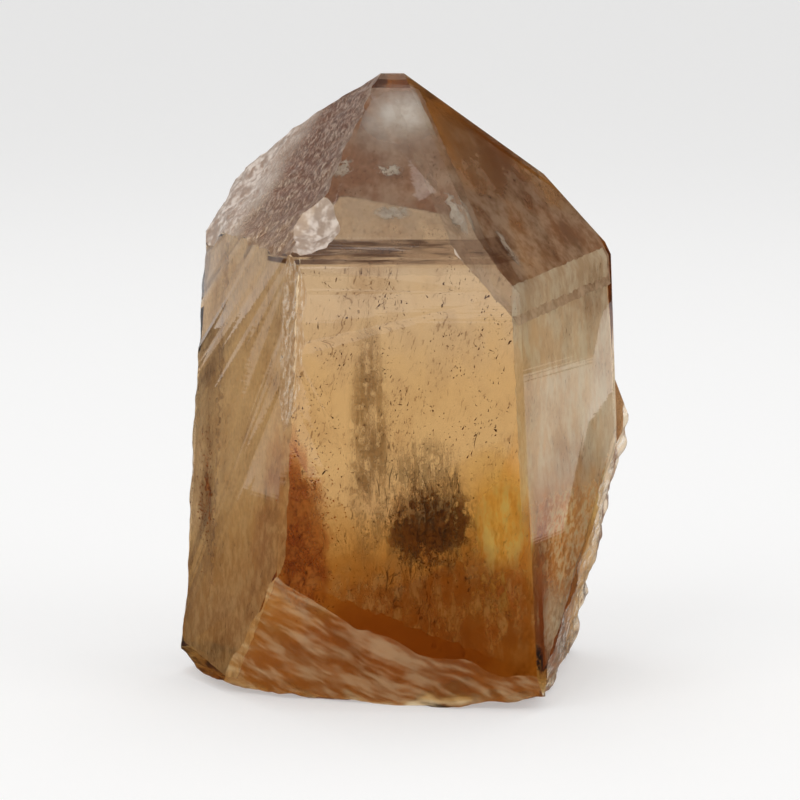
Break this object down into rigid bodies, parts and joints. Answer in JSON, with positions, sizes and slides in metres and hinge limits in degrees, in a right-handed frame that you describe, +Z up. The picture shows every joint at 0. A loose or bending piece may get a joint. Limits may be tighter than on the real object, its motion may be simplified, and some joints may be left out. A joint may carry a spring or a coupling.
{
  "type": "citrine crystal point",
  "caption": "Natural citrine point with a six-sided prism, a faceted tip, a small side growth and a broken base that it stands on.",
  "frame": {"origin": "under the middle of the crystal's box, at the level its broken base stands on", "axes": "+Z up along the crystal's long axis to its point, -Y out of the broad front prism face"},
  "size_m": [0.0694, 0.0446, 0.0921],
  "materials": {
    "citrine": "clear and glossy prism and end faces, etched upper left end face, dull broken base and lower right side"
  },
  "bodies": {
    "root": {"citrine_crystal": "citrine"}
  },
  "joints": []
}
